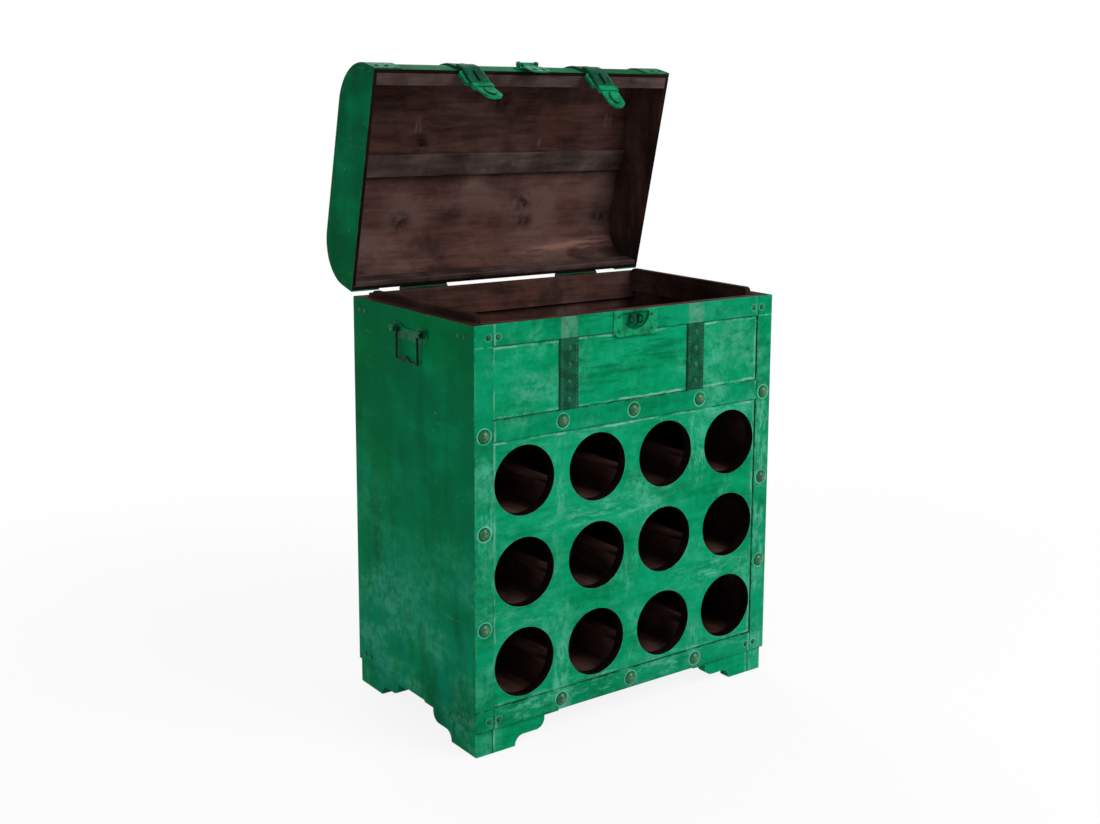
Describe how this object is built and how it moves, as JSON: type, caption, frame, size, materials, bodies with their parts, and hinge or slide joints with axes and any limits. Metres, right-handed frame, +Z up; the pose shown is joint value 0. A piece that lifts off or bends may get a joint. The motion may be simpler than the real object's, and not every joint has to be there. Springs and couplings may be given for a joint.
{
  "type": "wine chest cabinet",
  "caption": "Free-standing trunk-style wine cabinet: a lidded chest with hasp, buckled straps and side handles over a rack of round bottle holes, on bracket feet.",
  "frame": {"origin": "on the floor, under the middle of the part as it stands with its lid open", "axes": "+X to the right of someone facing the front, +Y to the back, +Z up"},
  "size_m": [0.4836, 0.3684, 0.8187],
  "materials": {
    "painted_wood": "distressed green paint, rubbed pale on edges",
    "stained_wood": "dark brown stain, matt",
    "painted_leather": "green painted leather with stitched edges",
    "painted_metal": "green paint, worn at high points",
    "rubbed_brass": "green paint rubbed through to brass"
  },
  "bodies": {
    "carcass": {"side_panel_left": "painted_wood", "side_panel_right": "painted_wood", "back_panel": "painted_wood", "bottom_board": "stained_wood", "bottle_shelf_middle": "stained_wood", "bottle_shelf_upper": "stained_wood", "bottle_battens": "stained_wood", "compartment_floor": "stained_wood", "bottle_front": "painted_wood", "front_board_upper": "painted_wood", "lip_batten_left": "stained_wood", "lip_batten_right": "stained_wood", "lip_batten_rear": "stained_wood", "foot_front_left_face": "painted_wood", "foot_front_left_flank": "painted_wood", "foot_front_right_face": "painted_wood", "foot_front_right_flank": "painted_wood", "foot_rear_left_face": "painted_wood", "foot_rear_left_flank": "painted_wood", "foot_rear_right_face": "painted_wood", "foot_rear_right_flank": "painted_wood", "band_top": "painted_wood", "band_middle": "painted_wood", "band_bottom": "painted_wood", "band_left": "painted_wood", "band_right": "painted_wood", "dome_studs": "rubbed_brass", "corner_nails": "painted_metal", "front_strap_left": "painted_leather", "front_strap_right": "painted_leather", "front_strap_studs": "painted_metal", "lock_plate": "painted_metal", "lock_staples": "painted_metal", "handle_plate_left": "painted_metal", "handle_plate_right": "painted_metal", "hinge_box_leaves": "painted_metal", "hinge_pins": "painted_metal"},
    "lid": {"lid_end_left": "painted_wood", "lid_end_right": "painted_wood", "lid_front_rail": "stained_wood", "lid_rear_rail": "stained_wood", "lid_top_skin": "painted_wood", "lid_rib": "stained_wood", "lid_edge_band_left": "painted_leather", "lid_edge_band_right": "painted_leather", "lid_strap_left": "painted_leather", "lid_strap_right": "painted_leather", "lid_nails": "painted_metal", "hinge_lid_leaves": "painted_metal", "hasp_bracket": "painted_metal", "hasp_pin": "painted_metal"},
    "hasp": {"hasp_plate": "painted_metal"},
    "strap_left": {"strap_flap_left": "painted_leather", "strap_buckle_left": "painted_metal", "strap_fittings_left": "painted_metal"},
    "strap_right": {"strap_flap_right": "painted_leather", "strap_buckle_right": "painted_metal", "strap_fittings_right": "painted_metal"},
    "handle_left": {"handle_bail_left": "painted_metal"},
    "handle_right": {"handle_bail_right": "painted_metal"}
  },
  "joints": [
    {"name": "lid_hinge", "type": "hinge", "parent": "carcass", "child": "lid", "pos_m": [0, 0.119, 0.5225], "axis": [1, 0, 0], "range_deg": [0, 76.2]},
    {"name": "hasp_hinge", "type": "hinge", "parent": "lid", "child": "hasp", "pos_m": [0, 0.05976, 0.81398], "axis": [-1, 0, 0], "range_deg": [0, 110]},
    {"name": "strap_left_flex", "type": "hinge", "parent": "lid", "child": "strap_left", "pos_m": [-0.099, 0.05433, 0.81512], "axis": [-1, 0, 0], "range_deg": [0, 90]},
    {"name": "strap_right_flex", "type": "hinge", "parent": "lid", "child": "strap_right", "pos_m": [0.099, 0.05433, 0.81512], "axis": [-1, 0, 0], "range_deg": [0, 90]},
    {"name": "handle_left_swing", "type": "hinge", "parent": "carcass", "child": "handle_left", "pos_m": [-0.237, -0.032, 0.4945], "axis": [0, 1, 0], "range_deg": [0, 90]},
    {"name": "handle_right_swing", "type": "hinge", "parent": "carcass", "child": "handle_right", "pos_m": [0.237, -0.032, 0.4945], "axis": [0, -1, 0], "range_deg": [0, 90]}
  ]
}
